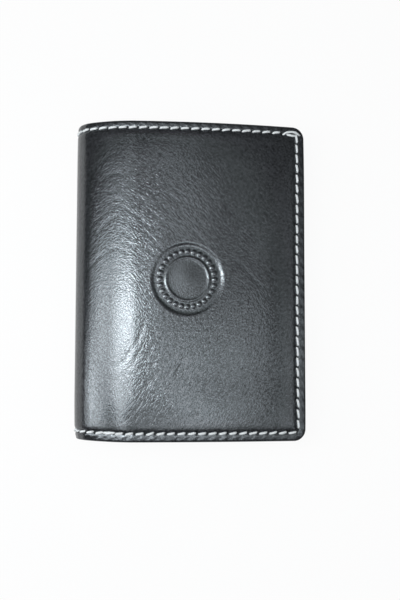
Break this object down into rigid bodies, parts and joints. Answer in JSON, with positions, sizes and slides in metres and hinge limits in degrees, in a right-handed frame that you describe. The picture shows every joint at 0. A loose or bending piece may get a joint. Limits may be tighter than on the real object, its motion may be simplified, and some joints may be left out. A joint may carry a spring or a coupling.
{
  "type": "leather wallet",
  "caption": "Closed vertical folding wallet of black leather with contrast edge stitching, stepped card slots, a clear-window page and a coin pocket with a snap flap.",
  "frame": {"origin": "centre of the bounding box's underside, where the closed wallet lies on its back cover", "axes": "+X from the round spine to the open edge, +Y to the top edge, +Z out of the front cover"},
  "size_m": [0.082, 0.1124, 0.024],
  "materials": {
    "outer_leather": "black full-grain leather, fine pebble grain, soft semi-gloss with worn lights on the folds",
    "inner_leather": "black smooth leather, satin, with creased edge lines",
    "lining": "charcoal twill cloth, matt",
    "thread": "off-white waxed twisted thread",
    "clear_film": "clear flexible plastic film, slightly wavy",
    "nickel": "nickel plated snap, polished with fine wear"
  },
  "bodies": {
    "back": {"back_cover": "outer_leather", "back_lining": "lining", "coin_page": "inner_leather", "coin_pocket_wall": "inner_leather", "coin_gusset_left": "inner_leather", "coin_gusset_right": "inner_leather", "coin_flap_strip": "inner_leather", "snap_stud": "nickel", "snap_rivet": "nickel"},
    "spine": {"spine_cover": "outer_leather", "spine_lining": "lining"},
    "front": {"front_cover": "outer_leather", "front_lining": "lining", "card_page": "inner_leather", "card_slot_1": "inner_leather", "card_slot_2": "inner_leather", "card_slot_3": "inner_leather", "window_hinge_strip": "inner_leather"},
    "window_page": {"window_panel": "inner_leather", "window_film": "clear_film", "window_frame": "inner_leather"},
    "coin_flap": {"coin_flap": "inner_leather", "snap_cap": "nickel", "snap_socket": "nickel"}
  },
  "joints": [
    {"name": "spine_fold", "type": "hinge", "parent": "back", "child": "spine", "pos_m": [-0.03861, 0, 0.00373], "axis": [0, -1, 0], "range_deg": [0, 90]},
    {"name": "cover_fold", "type": "hinge", "parent": "spine", "child": "front", "pos_m": [-0.03652, 0, 0.01959], "axis": [0, -1, 0], "range_deg": [0, 93]},
    {"name": "window_page_turn", "type": "hinge", "parent": "front", "child": "window_page", "pos_m": [-0.02615, 0, 0.01907], "axis": [0, 1, 0], "range_deg": [0, 45]},
    {"name": "coin_flap_lift", "type": "hinge", "parent": "back", "child": "coin_flap", "pos_m": [0.002, 0.0256, 0.0044], "axis": [-1, 0, 0], "range_deg": [0, 100]}
  ],
  "couplings": [
    {"joint": "cover_fold", "follows": "spine_fold", "ratio": 1.0333},
    {"joint": "window_page_turn", "follows": "spine_fold", "ratio": 0.5},
    {"joint": "coin_flap_lift", "follows": "spine_fold", "ratio": 1.1111}
  ]
}
